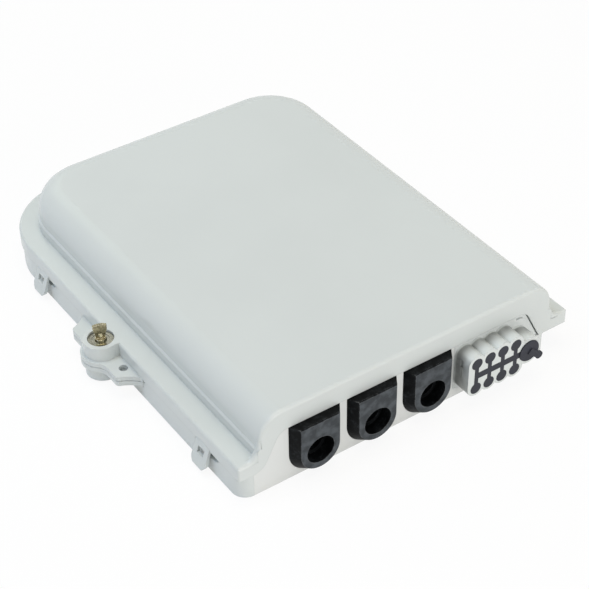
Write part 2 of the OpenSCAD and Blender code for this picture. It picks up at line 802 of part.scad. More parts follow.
// Posts, cable cradles and fibre hooks on the floor.
module floor_fittings() {
  color("gainsboro") {
    for (x = grommet_xs) clamp_cradle(x);
    for (x = grommet_xs) screw_post(x, post_y, 3.4, post_top - 3);
    for (sx = [-1, 1], sy = [-1, 1])
      screw_post(tray_x + sx * tray_screw_dx, tray_y + sy * tray_screw_dy, 3.6, tray_z);
    for (sx = [-1, 1]) screw_post(bracket_x(sx), adapter_y + 8, 3.4, floor_t + 2.6);
    for (sx = [-1, 1]) screw_post(comb_hole_x(sx), comb_y, 3.2, comb_seat_z);
    for (y = [adapter_y - 10, adapter_y + 16]) fibre_hook(base_xl + 11.7, y, 0);
    for (y = [tray_y - 20, tray_y + 12]) fibre_hook(base_xl + 10.7, y, 0);
    fibre_hook(base_xl + 39.7, adapter_y - 4, 180);
    fibre_hook(base_xl + 47.7, adapter_y + 13, 90);
  }
}

module hinge_pins() {
  total = knuckle_l + 2 * (knuckle_gap + base_knuckle_l);
  color("silver")
    for (y = hinge_ys)
      translate([hinge_x, y + total / 2, hinge_z]) rotate([90, 0, 0]) cylinder(r = pin_r, h = total);
}

// ---------------------------------------------------------------- grommets

// Rubber grommet: tapered nose, neck in the wall's notch, lip behind it, stepped bore.
module grommet(x) {
  neck_r = notch_r - seat_fit;
  nose_r = notch_r - grommet_taper;
  top = arch_top - cable_z;
  lip_r = min(notch_r + 1.2, grommet_pitch / 2 - 0.2, block_left - 0.9 - grommet_xs[2]);
  wall_back = -inner_yf - 2.1;
  color([0.12, 0.12, 0.13])
    translate([x, 0, cable_z])
      rotate([90, 0, 0])
        difference() {
          union() {
            hull() {
              translate([0, 0, -base_yf]) linear_extrude(eps) notch_shape(neck_r, top, $fn = 48);
              translate([0, 0, -base_yf + grommet_out - 0.6])
                linear_extrude(eps) notch_shape(nose_r + 0.4, top - 0.1, $fn = 48);
              translate([0, 0, -base_yf + grommet_out - eps])
                linear_extrude(eps) notch_shape(nose_r, top - 0.5, $fn = 48);
            }
            intersection() {
              union() {
                translate([0, 0, wall_back]) linear_extrude(base_wall + 2.1 + eps) notch_shape(neck_r, top);
                translate([0, 0, wall_back]) linear_extrude(2) notch_shape(lip_r, top);
              }
              union() {
                translate([-reach, floor_t + 0.1 - cable_z, wall_back]) cube([2 * reach, reach, 2.1]);
                translate([-reach, -reach, -inner_yf]) cube([2 * reach, 2 * reach, base_wall + eps]);
              }
            }
          }
          translate([0, 0, -inner_yf + 1]) cylinder(r = cable_bore_r, h = reach);
          translate([0, 0, wall_back + 1]) cylinder(r = cable_bore_r - 1.8, h = reach);
        }
}

module grommet_left() { grommet(grommet_xs[0]); }
module grommet_middle() { grommet(grommet_xs[1]); }
module grommet_right() { grommet(grommet_xs[2]); }

// ---------------------------------------------------------------- drop ports

// The eight ports, their slits and the large port, grown by g.
module port_pattern(g) {
  for (x = port_xs) {
    for (z = [port_bottom_z, port_top_z]) translate([x, z]) circle(port_r + g, $fn = 48);
    translate([x - slit_w / 2 - g, port_bottom_z]) square([slit_w + 2 * g, port_top_z - port_bottom_z]);
  }
  translate([port_x - slit_w / 2 - g, bar_z - bar_h / 2 - g]) square([big_port_x - port_x, bar_h + 2 * g]);
  translate([big_port_x, bar_z]) circle(big_port_r + g);
}

// Outline of the block's snout: four tall tubes side by side and one large round tube.
module snout_outline() {
  for (x = port_xs) {
    for (z = [low_tube_z, port_top_z]) translate([x, z]) circle(tube_r, $fn = 48);
    translate([x - tube_r, low_tube_z]) square([2 * tube_r, port_top_z - low_tube_z]);
  }
  translate([big_port_x, bar_z]) circle(big_tube_r);
  translate([port_xs[3], bar_z - 3]) square([big_port_x - port_xs[3], 6]);
}

// Face that fills the wall's window flush, stepped back along its hinge-side slope.
module block_face() {
  step = 0.8;
  translate([0, inner_yf + seat_fit + eps, 0])
    rotate([90, 0, 0])
      linear_extrude(base_wall + seat_fit + eps - step)
        intersection() {
          arch_profile(-seat_fit, 0);
          block_window(seat_fit);
        }
  translate([0, base_yf + step + eps, 0])
    rotate([90, 0, 0])
      linear_extrude(step + eps)
        intersection() {
          arch_profile(-seat_fit, 0);
          block_window(seat_fit);
          union() {
            square([big_port_x, reach]);
            arch_profile(-1.9, 0);
          }
        }
}

// Flange of the block behind the wall.
module block_flange() {
  translate([0, plate_y + plate_t, 0])
    rotate([90, 0, 0])
      linear_extrude(plate_t)
        intersection() {
          arch_profile(-seat_fit, 0);
          union() {
            translate([block_left - 0.6, floor_t + 0.1])
              square([block_right - block_left + 2.2, arch_top]);
            translate([block_left, ledge_z + 0.2]) square([reach, arch_top]);
          }
        }
}

module drop_port_block() {
  snout_l = inner_yf + plate_t + seat_fit - block_front_y;
  side_x = port_x - tube_r;
  color("gainsboro")
    difference() {
      union() {
        translate([0, inner_yf + plate_t + seat_fit, 0])
          rotate([90, 0, 0]) linear_extrude(snout_l) snout_outline();
        block_face();
        block_flange();
      }
      translate([0, inner_yf + plate_t + seat_fit + 1, 0])
        rotate([90, 0, 0]) linear_extrude(snout_l + 2) port_pattern(0);
      translate([side_x - 1, block_front_y + 3.9, port_top_z - 3.2]) cube([1.9, 2.2, 4.2]);
      translate([side_x - 1, block_front_y + 4.8, port_top_z - 8.6]) cube([1.5, 0.6, 6]);
    }
}

module drop_port_seal() {
  seal_l = inner_yf + plate_t + seat_fit - block_front_y;
  tab_dx = 5.8;
  tab_dz = -4.9;
  color([0.2, 0.2, 0.22]) {
    translate([0, inner_yf + plate_t + seat_fit, 0])
      rotate([90, 0, 0]) linear_extrude(seal_l) port_pattern(-seat_fit / 2);
    translate([big_port_x, block_front_y + 1, bar_z])
      rotate([90, 0, 0]) linear_extrude(1.5) circle(big_port_r - seat_fit);
    translate([big_port_x, block_front_y, bar_z])
      rotate([90, 0, 0])
        linear_extrude(1) {
          translate([tab_dx, tab_dz]) circle(2, $fn = 32);
          rotate([0, 0, atan2(tab_dz, tab_dx)]) translate([0, -1.6]) square([norm([tab_dx, tab_dz]), 3.2]);
        }
  }
}

// ---------------------------------------------------------------- lock

module lock_barrel() {
  color("silver")
    translate([lock_x, lock_y, 0])
      difference() {
        union() {
          translate([0, 0, head_seat_z]) cylinder(r = lock_head_r, h = flange_top - 1 - head_seat_z);
          translate([0, 0, barrel_bottom]) cylinder(r = lock_body_r, h = head_seat_z - barrel_bottom + eps);
        }
        translate([0, 0, barrel_bottom - 1]) cylinder(r = rotor_r + 0.05, h = 30);
        translate([0, 0, flange_top - 2.4]) cylinder(r = rotor_r + 1.2, h = 5);
      }
}

// Rotor with its key slot, a collar under the barrel's mouth and a square end for the cam.
module lock_rotor() {
  cam_bottom = cam_top - cam_t;
  color("silver")
    translate([lock_x, lock_y, 0])
      difference() {
        union() {
          translate([0, 0, cam_top]) cylinder(r = rotor_r, h = flange_top - 1.2 - cam_top);
          translate([0, 0, flange_top - 2.3]) cylinder(r = rotor_r + 1.1, h = 1.1);
          translate([-1.5, -1.5, cam_bottom]) cube([3, 3, cam_t + eps]);
        }
        rotate([0, 0, key_angle]) translate([-2.2, -0.6, cam_top + 1.4]) cube([4.4, 1.2, 30]);
        translate([0, 0, cam_bottom - 1]) cylinder(r = 0.9, h = 2.8);
      }
}

module lock_nut() {
  color("silver")
    translate([lock_x, lock_y, nut_seat_z - nut_t])
      difference() {
        cylinder(r = nut_r, h = nut_t, $fn = 6);
        translate([0, 0, -1]) cylinder(r = lock_body_r + 0.05, h = nut_t + 2);
      }
}

module lock_cam() {
  color("silver")
    translate([lock_x, lock_y, cam_top - cam_t])
      difference() {
        intersection() {
          translate([-cam_w / 2, -10, 0]) cube([cam_w, 20, cam_t]);
          translate([0, 0, -1]) cylinder(r = cam_half, h = cam_t + 2);
        }
        translate([-1.55, -1.55, -1]) cube([3.1, 3.1, cam_t + 2]);
      }
}

module cam_screw() {
  color("silver")
    translate([lock_x, lock_y, cam_top - cam_t])
      mirror([0, 0, 1]) pan_screw(0.85, 1.7, 2.1, 1);
}

// Flat key: blade in the slot, round neck, fan-shaped bow with a milled top edge.
module key() {
  neck_z = flange_top - 1.1;
  blade_z = cam_top + 1.8;
  bow_z = flange_top + 2.4;
  bow_h = 5.8;
  color("silver")
    translate([lock_x, lock_y, 0])
      rotate([0, 0, key_angle]) {
        translate([-2, -0.5, blade_z]) cube([4, 1, neck_z - blade_z + eps]);
        translate([0, 0, neck_z]) cylinder(r1 = 2.9, r2 = 2.5, h = 1.2);
        translate([0, 0.7, 0])
          rotate([90, 0, 0])
            linear_extrude(1.4)
              difference() {
                union() {
                  polygon([
                    [-2, neck_z + 1], [2, neck_z + 1], [2.4, bow_z], [3.3, bow_z + 3.2],
                    [2.8, bow_z + bow_h - 0.8], [-2.8, bow_z + bow_h - 0.8], [-3.3, bow_z + 3.2], [-2.4, bow_z]]);
                  for (i = [-3:3])
                    translate([i * 0.92, bow_z + bow_h - 0.8 - 0.06 * i * i]) circle(0.55, $fn = 24);
                }
                translate([0, bow_z - 0.5]) circle(1.1, $fn = 32);
              }
      }
}

// ---------------------------------------------------------------- cable fixing

// Omega-shaped saddle over one cable, its feet on the cradle.
module cable_clamp(x) {
  inner_r = cable_bore_r + 0.4;
  outer_r = inner_r + 2;
  color("gainsboro")
    difference() {
      translate([x, clamp_y + clamp_l / 2, cable_z])
        rotate([90, 0, 0])
          linear_extrude(clamp_l)
            difference() {
              union() {
                circle(outer_r);
                translate([-outer_r, clamp_seat_z - cable_z]) square([2 * outer_r, cable_z - clamp_seat_z]);
                translate([-13.4, clamp_seat_z - cable_z]) square([26.8, 2.2]);
              }
              circle(inner_r);
              translate([-inner_r, -outer_r]) square([2 * inner_r, outer_r]);
              translate([-outer_r, -reach]) square([2 * outer_r, reach + clamp_seat_z - cable_z]);
            }
      for (side = [-1, 1])
        translate([x + side * clamp_hole_x, clamp_y, 0]) cylinder(r = screw_r + 0.2, h = reach);
      for (side = [-1, 1])
        translate([x + side * clamp_hole_x, clamp_y, clamp_seat_z + 2.2]) cylinder(r = 2.6, h = reach);
    }
}

module cable_clamp_left() { cable_clamp(grommet_xs[0]); }
module cable_clamp_middle() { cable_clamp(grommet_xs[1]); }
module cable_clamp_right() { cable_clamp(grommet_xs[2]); }

module clamp_screws() {
  color("silver")
    for (x = grommet_xs, side = [-1, 1])
      translate([x + side * clamp_hole_x, clamp_y, clamp_seat_z + 2.2]) pan_screw(screw_r - 0.05, 6, 2.4, 1.6);
}

// Brass post that grips a cable's strength member in a cross hole under its screw.
module strength_posts() {
  color("goldenrod")
    for (x = grommet_xs)
      translate([x, post_y, post_top - 3])
        difference() {
          union() {
            cylinder(r = 3.2, h = 7);
            translate([0, 0, -3.5]) cylinder(r = screw_r - 0.05, h = 4);
          }
          translate([0, 0, 2.6]) rotate([90, 0, 0]) cylinder(r = 1.1, h = 10, center = true);
          translate([0, 0, 2.6]) cylinder(r = 1, h = 9);
        }
}

module strength_screws() {
  color("silver")
    for (x = grommet_xs)
      translate([x, post_y, post_top + 4]) pan_screw(0.95, 2, 2.2, 1.5);
}

// Comb behind the port block with one notch per drop cable pair and slots for cable ties.
module drop_cable_comb() {
  half = comb_half + 2.5;
  color("gainsboro")
    difference() {
      union() {
        translate([comb_mid_x - half, comb_y - 4, comb_seat_z]) cube([2 * half, 8, 2.4]);
        for (i = [0:4])
          translate([port_x + (i - 0.5) * port_pitch - 0.9, comb_y - 4, comb_seat_z]) cube([1.8, 8, 15]);
      }
      for (side = [-1, 1])
        translate([comb_hole_x(side), comb_y, 0]) cylinder(r = screw_r + 0.2, h = reach);
      for (x = port_xs)
        translate([x - 1.6, comb_y + 1.2, 0]) cube([3.2, 1.6, reach]);
    }
}

module comb_screws() {
  color("silver")
    for (side = [-1, 1])
      translate([comb_hole_x(side), comb_y, comb_seat_z + 2.4]) pan_screw(screw_r - 0.05, 5, 2.4, 1.6);
}

// ---------------------------------------------------------------- adapters

// Upright plate with eight windows, on a foot screwed to the floor.
module adapter_bracket() {
  seat_z = floor_t + 2.6;
  left = row_mid_x - bracket_w / 2;
  plate_front = adapter_y - bracket_t;
  color("gainsboro")
    difference() {
      union() {
        translate([left, plate_front, seat_z]) cube([bracket_w, bracket_t, bracket_h - 2.6]);
        translate([left, plate_front, seat_z]) cube([bracket_w, 14, 2.2]);
        for (side = [-1, 1])
          translate([row_mid_x + side * (bracket_w / 2 - 1) - 1, adapter_y - eps, seat_z])
            rotate([90, 0, 90]) linear_extrude(2) polygon([[0, 0], [11, 0], [11, 3], [0, 18]]);
      }
      for (i = [1:adapter_count])
        translate([adapter_x(i) - adapter_w / 2 - 0.15, plate_front - 1, adapter_z - adapter_h / 2 - 0.15])
          cube([adapter_w + 0.3, bracket_t + 2, adapter_h + 0.3]);
      for (i = [1:adapter_count], side = [-1, 1])
        translate([adapter_x(i), plate_front - 1, adapter_z + side * adapter_hole_dz])
          rotate([-90, 0, 0]) cylinder(r = adapter_screw_r, h = 4.2, $fn = 32);
      for (side = [-1, 1])
        translate([bracket_x(side), adapter_y + 8, 0]) cylinder(r = screw_r + 0.2, h = reach);
    }
}

module adapter_screws() {
  color("silver")
    for (i = [1:adapter_count], side = [-1, 1])
      translate([adapter_x(i), adapter_flange_y, adapter_z + side * adapter_hole_dz])
        rotate([90, 0, 0]) pan_screw(adapter_screw_r - 0.05, adapter_flange_t + 2.6, 1.8, 1.1, $fn = 32);
}

module bracket_screws() {
  color("silver")
    for (side = [-1, 1])
      translate([bracket_x(side), adapter_y + 8, floor_t + 4.8]) pan_screw(screw_r - 0.05, 4.2, 2.4, 1.6);
}

// SC adapter: two sockets back to back, a mounting flange and two snap ridges.
module adapter(i) {
  socket_w = 7.4;
  socket_h = 9.8;
  socket_l = 11.5;
  keyway_l = 6;
  color("seagreen")
    translate([adapter_x(i), 0, adapter_z])
      difference() {
        union() {
          translate([-adapter_w / 2, adapter_front_y, -adapter_h / 2]) cube([adapter_w, adapter_l, adapter_h]);
          translate([-adapter_flange_w / 2, adapter_flange_y, -adapter_flange_h / 2])
            cube([adapter_flange_w, adapter_flange_t, adapter_flange_h]);
        }
        for (y = [adapter_front_y - 1, adapter_front_y + adapter_l - socket_l])
          translate([-socket_w / 2, y, -socket_h / 2]) cube([socket_w, socket_l + 1, socket_h]);
        for (y = [adapter_front_y - 1, adapter_front_y + adapter_l - keyway_l])
          translate([-1.3, y, socket_h / 2 - eps]) cube([2.6, keyway_l + 1, 3]);
        for (side = [-1, 1])
          translate([0, adapter_flange_y - 1, side * adapter_hole_dz])
            rotate([-90, 0, 0]) cylinder(r = 1.1, h = 5, $fn = 32);
      }
}

// Dust cap: a plug in the socket and a ribbed grip outside it, pushed in along +Y.
module dust_cap() {
  plug_w = 7.2;
  plug_h = 9.6;
  grip_l = 4.4;
  translate([-plug_w / 2, -eps, -plug_h / 2]) cube([plug_w, 8, plug_h]);
  difference() {
    translate([-plug_w / 2 - 0.6, -grip_l, -plug_h / 2 - 0.6])
      cube([plug_w + 1.2, grip_l, plug_h + 1.2]);
    for (side = [-1, 1], y = [1.4, 2.8])
      translate([side * (plug_w / 2 + 0.6), -y, 0]) cube([0.6, 0.6, 20], center = true);
  }
}

module front_dust_caps() {
  color("white")
    for (i = [1:adapter_count])
      translate([adapter_x(i), adapter_front_y, adapter_z]) dust_cap();
}

module rear_dust_caps() {
  color("white")
    for (i = [1:adapter_count])
      translate([adapter_x(i), adapter_front_y + adapter_l, adapter_z]) mirror([0, 1, 0]) dust_cap();
}

// ---------------------------------------------------------------- splice tray

module rounded_plan(w, l, r) {
  square([w - 2 * r, l], center = true);
  square([w, l - 2 * r], center = true);
  for (sx = [-1, 1], sy = [-1, 1]) translate([sx * (w / 2 - r), sy * (l / 2 - r)]) circle(r, $fn = 96);
}

// Tray with a rim, two fibre spools, retaining tabs and two fibre entries.
module splice_tray() {
  wall = 1.6;
  deep = tray_z + tray_floor_t;
  color("ghostwhite")
    translate([tray_x, tray_y, 0])
      difference() {
        union() {
          translate([0, 0, tray_z]) linear_extrude(tray_floor_t) rounded_plan(tray_w, tray_l, tray_r);
          translate([0, 0, tray_z])
            linear_extrude(tray_wall_h + tray_floor_t)
              difference() {
                rounded_plan(tray_w, tray_l, tray_r);
                rounded_plan(tray_w - 2 * wall, tray_l - 2 * wall, tray_r - wall);
              }
          for (side = [0, 1])
            mirror([side, 0, 0])
              translate([spool_dx, 0, deep - eps]) {
                linear_extrude(tray_wall_h - 1)
                  difference() {
                    circle(spool_r, $fn = 96);
                    circle(spool_r - wall, $fn = 96);
                    translate([-spool_r, 0]) square([spool_r, 9], center = true);
                  }
                for (a = [0, 120, 240])
                  translate([0, 0, tray_wall_h - 2.4])
                    rotate([0, 0, a]) translate([spool_r - wall, -3, 0]) cube([5.6, 6, 1.4]);
              }
          for (side = [-1, 1], x = [-30, 0, 30])
            translate([x - 4, side * (tray_l / 2 - 3.6) - 3, deep + tray_wall_h - 1.4]) cube([8, 6, 1.4]);
          for (side = [-1, 1], y = [-16, 16])
            translate([side * (tray_w / 2 - 3.6) - 3, y - 4, deep + tray_wall_h - 1.4]) cube([6, 8, 1.4]);
          for (sx = [-1, 1], sy = [-1, 1])
            translate([sx * tray_screw_dx, sy * tray_screw_dy, tray_z]) cylinder(r = 4, h = tray_floor_t + 1.4);
        }
        for (side = [-1, 1])
          translate([side * 40 - 5.5, -tray_l / 2 - 1, deep]) cube([11, wall + 2, 40]);
        for (sx = [-1, 1], sy = [-1, 1])
          translate([sx * tray_screw_dx, sy * tray_screw_dy, 0]) cylinder(r = screw_r + 0.2, h = reach);
      }
}

// Soft comb with one groove per splice protector; a pair of combs carries each protector.
module splice_comb(x) {
  comb_l = adapter_count * splice_pitch;
  tooth_t = 1.2;
  color([0.25, 0.27, 0.3])
    translate([tray_x + x, tray_y, tray_z + tray_floor_t]) {
      translate([-4, -comb_l / 2 - 1, 0]) cube([8, comb_l + 2, 1.5]);
      for (i = [0:adapter_count])
        translate([-4, i * splice_pitch - comb_l / 2 - tooth_t / 2, 0]) cube([8, tooth_t, 6.5]);
    }
}

module splice_comb_left() { splice_comb(-13); }
module splice_comb_right() { splice_comb(13); }

module tray_screws() {
  color("silver")
    for (sx = [-1, 1], sy = [-1, 1])
      translate([tray_x + sx * tray_screw_dx, tray_y + sy * tray_screw_dy, tray_z + tray_floor_t + 1.4])
        pan_screw(screw_r - 0.05, 8, 2.4, 1.6);
}

// ---------------------------------------------------------------- nodes

base_shell();
cable_wall();
base_ear();
floor_fittings();
cover_shell();
cover_gasket();
hinge_pins();
grommet_left();
grommet_middle();
grommet_right();
drop_port_block();
drop_port_seal();
lock_barrel();
lock_rotor();
lock_nut();
lock_cam();
cam_screw();
key();
cable_clamp_left();
cable_clamp_middle();
cable_clamp_right();
clamp_screws();
strength_posts();
strength_screws();
drop_cable_comb();
comb_screws();
adapter_bracket();
adapter_screws();
bracket_screws();
front_dust_caps();
rear_dust_caps();
splice_tray();
splice_comb_left();
splice_comb_right();
tray_screws();
for (i = [1:adapter_count])
  adapter(i);
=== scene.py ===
"""Looks of the fibre termination box: finishes, fine pieces, studio and camera."""

import json
import math

import bpy
import numpy as np
from bpy.props import FloatProperty, FloatVectorProperty, PointerProperty
from mathutils import Matrix, Vector

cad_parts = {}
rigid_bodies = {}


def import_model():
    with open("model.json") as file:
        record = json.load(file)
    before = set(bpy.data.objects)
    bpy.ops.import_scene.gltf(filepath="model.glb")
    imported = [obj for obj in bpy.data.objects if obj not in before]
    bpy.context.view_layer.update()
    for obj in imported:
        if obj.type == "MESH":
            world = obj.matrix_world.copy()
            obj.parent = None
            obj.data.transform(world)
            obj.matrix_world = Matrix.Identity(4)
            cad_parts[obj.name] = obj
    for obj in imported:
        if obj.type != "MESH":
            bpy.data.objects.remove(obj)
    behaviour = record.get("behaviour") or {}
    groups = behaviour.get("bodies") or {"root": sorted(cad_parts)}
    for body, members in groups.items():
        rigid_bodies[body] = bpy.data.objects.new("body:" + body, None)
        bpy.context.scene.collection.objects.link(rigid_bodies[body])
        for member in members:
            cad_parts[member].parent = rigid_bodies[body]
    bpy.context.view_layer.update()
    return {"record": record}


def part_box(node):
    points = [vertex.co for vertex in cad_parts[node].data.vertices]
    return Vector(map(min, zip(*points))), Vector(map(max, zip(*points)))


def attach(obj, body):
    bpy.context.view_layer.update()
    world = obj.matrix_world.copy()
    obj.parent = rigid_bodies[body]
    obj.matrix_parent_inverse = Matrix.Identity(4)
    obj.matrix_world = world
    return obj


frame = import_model()

bl_info = {
    "name": "Termination Box Looks",
    "version": (1, 0, 0),
    "blender": (4, 5, 0),
    "location": "3D View > Sidebar > Termination Box",
    "description": "Finishes, fine pieces and studio for a wall box for optical fibre",
    "category": "Object",
}

MM = 0.001
WHITE = (1.0, 1.0, 1.0, 1.0)
FLANGE_TOP = 20.0 * MM
# Distances from the origin towards the cable face: the foot of the port block's tubes on the
# cable wall, and the front of the grommets.
PORT_FOOT = -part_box("cable_wall")[0][1] + 0.5 * MM
GROMMET_FRONT = -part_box("grommet_left")[0][1]


# ---------------------------------------------------------------- shader maths


class Value:
    """One output of a shader node. Arithmetic on it adds Math nodes."""

    def __init__(self, finish, socket):
        self.finish = finish
        self.socket = socket

    def maths(self, operation, *operands):
        return self.finish.node("ShaderNodeMath", {"operation": operation}, operands)

    def __add__(self, other):
        return self.maths("ADD", self, other)

    def __radd__(self, other):
        return self.maths("ADD", other, self)

    def __sub__(self, other):
        return self.maths("SUBTRACT", self, other)

    def __rsub__(self, other):
        return self.maths("SUBTRACT", other, self)

    def __mul__(self, other):
        return self.maths("MULTIPLY", self, other)

    def __rmul__(self, other):
        return self.maths("MULTIPLY", other, self)

    def above(self, low, high):
        """0 below low, 1 above high, smooth between them."""
        settings = {"interpolation_type": "SMOOTHSTEP"}
        inputs = {"Value": self, "From Min": low, "From Max": high}
        return self.finish.node("ShaderNodeMapRange", settings, inputs)


class Shading:
    """A node tree that is built up node by node."""

    def __init__(self, owner):
        owner.use_nodes = True
        self.tree = owner.node_tree
        self.tree.nodes.clear()

    def node(self, kind, settings=None, inputs=(), output=0):
        """Adds a node, applies its settings, then sets or links its sockets."""
        made = self.tree.nodes.new(kind)
        for key, setting in (settings or {}).items():
            setattr(made, key, setting)
        pairs = inputs.items() if isinstance(inputs, dict) else enumerate(inputs)
        for key, given in pairs:
            if isinstance(given, Value):
                self.tree.links.new(given.socket, made.inputs[key])
            else:
                made.inputs[key].default_value = given
        return Value(self, made.outputs[output]) if made.outputs else made

    def shown(self, camera, others):
        """A share for rays from the camera and another for glossy and transmission rays."""
        seen, glossy, through = (
            self.node("ShaderNodeLightPath", output=f"Is {kind} Ray")
            for kind in ("Camera", "Glossy", "Transmission")
        )
        return seen * camera + (glossy + through) * others


class Finish(Shading):
    """A material whose pattern follows the object and ends in one Principled shader."""

    def __init__(self, name):
        self.material = bpy.data.materials.new(name)
        super().__init__(self.material)
        self.place = self.node("ShaderNodeTexCoord", output="Object")

    def mix(self, share, first, second):
        """Blends two colours."""
        settings = {"data_type": "RGBA"}
        return self.node("ShaderNodeMix", settings, {0: share, 6: first, 7: second}, output=2)

    def noise(self, scale, detail=3.0, place=None):
        """Soft noise from 0 to 1; scale is in features per metre."""
        inputs = {"Vector": place or self.place, "Scale": scale, "Detail": detail}
        return self.node("ShaderNodeTexNoise", {}, inputs)

    def stretched(self, x, y, z):
        """Object place with each axis multiplied, for streaks."""
        settings = {"operation": "MULTIPLY"}
        return self.node("ShaderNodeVectorMath", settings, [self.place, (x, y, z)])

    def worn_edge(self, radius):
        """Normal of the surface with its sharp edges rounded to a radius."""
        return self.node("ShaderNodeBevel", {"samples": 6}, {"Radius": radius}, output="Normal")

    def edges(self, radius):
        """Near 0 on flat ground, rising where an edge of the surface is sharper than the radius."""
        normals = [self.worn_edge(radius), self.node("ShaderNodeNewGeometry", output="Normal")]
        settings = {"operation": "DOT_PRODUCT"}
        return 1.0 - self.node("ShaderNodeVectorMath", settings, normals, "Value")

    def along(self, source, axis):
        """One axis of the object place or of the object normal."""
        vector = self.node("ShaderNodeTexCoord", output=source)
        return self.node("ShaderNodeSeparateXYZ", {}, [vector], axis)

    def bump(self, height, distance, normal):
        """Normal with a height of 0 to 1 raised by a distance on top of it."""
        inputs = {"Height": height, "Distance": distance, "Strength": 1.0, "Normal": normal}
        return self.node("ShaderNodeBump", {}, inputs)

    def spark_grain(self):
        """Height of a spark-eroded mould's skin: fine grain with wider pits."""
        return self.noise(2600.0, 2.0) * 0.6 + self.noise(700.0, 3.0) * 0.4

    def surface(self, **inputs):
        """Ends the tree in a Principled shader; underscores in names stand for spaces."""
        named = {key.replace("_", " "): given for key, given in inputs.items()}
        shader = self.node("ShaderNodeBsdfPrincipled", {}, named)
        self.node("ShaderNodeOutputMaterial", {}, {"Surface": shader})
        return self.material


def rgba(colour, factor=1.0):
    """Opaque colour, made darker or lighter by a factor."""
    return tuple(min(1.0, part * factor) for part in colour[:3]) + (1.0,)


# ---------------------------------------------------------------- finishes

PLASTIC_IOR = 1.49
BLOOM_COLOUR = (0.088, 0.098, 0.108, 1.0)
SCUFF_COLOUR = (0.170, 0.182, 0.190, 1.0)
# Pale edge colour of the metals: partly polish from wear, partly a painted highlight.
POLISH_AND_HIGHLIGHT_COLOUR = (0.84, 0.80, 0.70, 1.0)


def moulded_plastic(name, look, edge=0.35 * MM):
    """Injection-moulded ABS: fine spark grain, faint flow clouds and softly broken edges."""
    finish = Finish(name)
    clouds = finish.noise(14.0, 4.0)
    darker, lighter = rgba(look.colour, 0.985), rgba(look.colour, 1.015)
    return finish.surface(
        Base_Color=finish.mix(clouds.above(0.3, 0.7), darker, lighter),
        Roughness=look.roughness + (clouds - 0.5) * 0.05,
        IOR=PLASTIC_IOR,
        Normal=finish.bump(finish.spark_grain(), look.grain, finish.worn_edge(edge)),
    )


def moulded_rubber(name, look, edge=0.3 * MM):
    """Black EPDM: dull skin with a bloom of paler dust and small mould marks."""
    finish = Finish(name)
    bloom = finish.noise(90.0, 5.0).above(0.45, 0.75)
    specks = finish.noise(1500.0, 2.0).above(0.6, 0.8)
    colour = finish.mix(bloom * 0.5 + specks * 0.25, rgba(look.colour), rgba(look.colour, 1.8))
    roughness = look.roughness + bloom * 0.12 + specks * 0.08
    height = finish.noise(1100.0, 3.0)
    return finish.surface(
        Base_Color=colour,
        Roughness=roughness,
        Specular_IOR_Level=0.22,
        Normal=finish.bump(height, look.grain, finish.worn_edge(edge)),
    )


def port_plastic(name, look, edge=0.35 * MM):
    """Port block plastic: painted shade on the tubes, darkest at the wall and thinning forwards,
    and on sides that face left.
    """
    finish = Finish(name)
    outwards = finish.along("Object", "Y") * -1.0
    begins = outwards.above(PORT_FOOT, PORT_FOOT + 1.0 * MM)
    thins = 1.0 - outwards.above(PORT_FOOT + 1.5 * MM, PORT_FOOT + 8.5 * MM)
    shade_band = begins * thins
    patches = finish.noise(150.0, 4.0).above(0.3, 0.7)
    # Painted shade: the tubes are darkened near the cable wall, where the cover's front wall shades
    # them; the same mask also makes them duller.
    painted_shade = shade_band * (0.75 + patches * 0.25)
    # Painted shade: surfaces that face left, towards the black grommet, are darkened, most near the
    # wall.
    side = (finish.along("Normal", "X") * -1.0).above(0.6, 0.95) * shade_band.above(-1.0, 0.6)
    colour = finish.mix(painted_shade, rgba(look.colour), rgba(look.colour, 0.33))
    colour = finish.mix(side * (0.25 + patches * 0.45), colour, rgba(look.colour, 0.30))
    return finish.surface(
        Base_Color=colour,
        Roughness=look.roughness + painted_shade * 0.15,
        IOR=PLASTIC_IOR,
        Normal=finish.bump(finish.spark_grain(), look.grain, finish.worn_edge(edge)),
    )


def grommet_rubber(name, look, edge=0.35 * MM):
    """Black EPDM with grey bloom on the face that points out, stains, and edges scuffed pale."""
    finish = Finish(name)
    outwards = finish.along("Normal", "Y") * -1.0
    depth = finish.along("Object", "Y") + GROMMET_FRONT
    outside = 1.0 - depth.above(1.2 * MM, 2.2 * MM)
    face = outwards.above(0.7, 0.97) * outside
    stains = finish.noise(230.0, 6.0).above(0.38, 0.66)
    fine = finish.noise(900.0, 4.0).above(0.42, 0.72)
    rubbed = finish.noise(420.0, 5.0).above(0.40, 0.58) * outside
    scuffs = finish.edges(0.7 * MM).above(0.01, 0.14) * rubbed
    bloom = face * (0.55 + stains * 0.45) + (1.0 - face) * stains * (0.05 + fine * 0.20)
    dusty = finish.mix(bloom, rgba(look.colour), BLOOM_COLOUR)
    colour = finish.mix(scuffs * 0.8, dusty, SCUFF_COLOUR)
    height = finish.noise(1100.0, 3.0) + stains * 0.5
    return finish.surface(
        Base_Color=colour,
        Roughness=look.roughness + bloom * 0.2 + fine * 0.06,
        Specular_IOR_Level=0.06,
        Normal=finish.bump(height, look.grain, finish.worn_edge(edge)),
    )


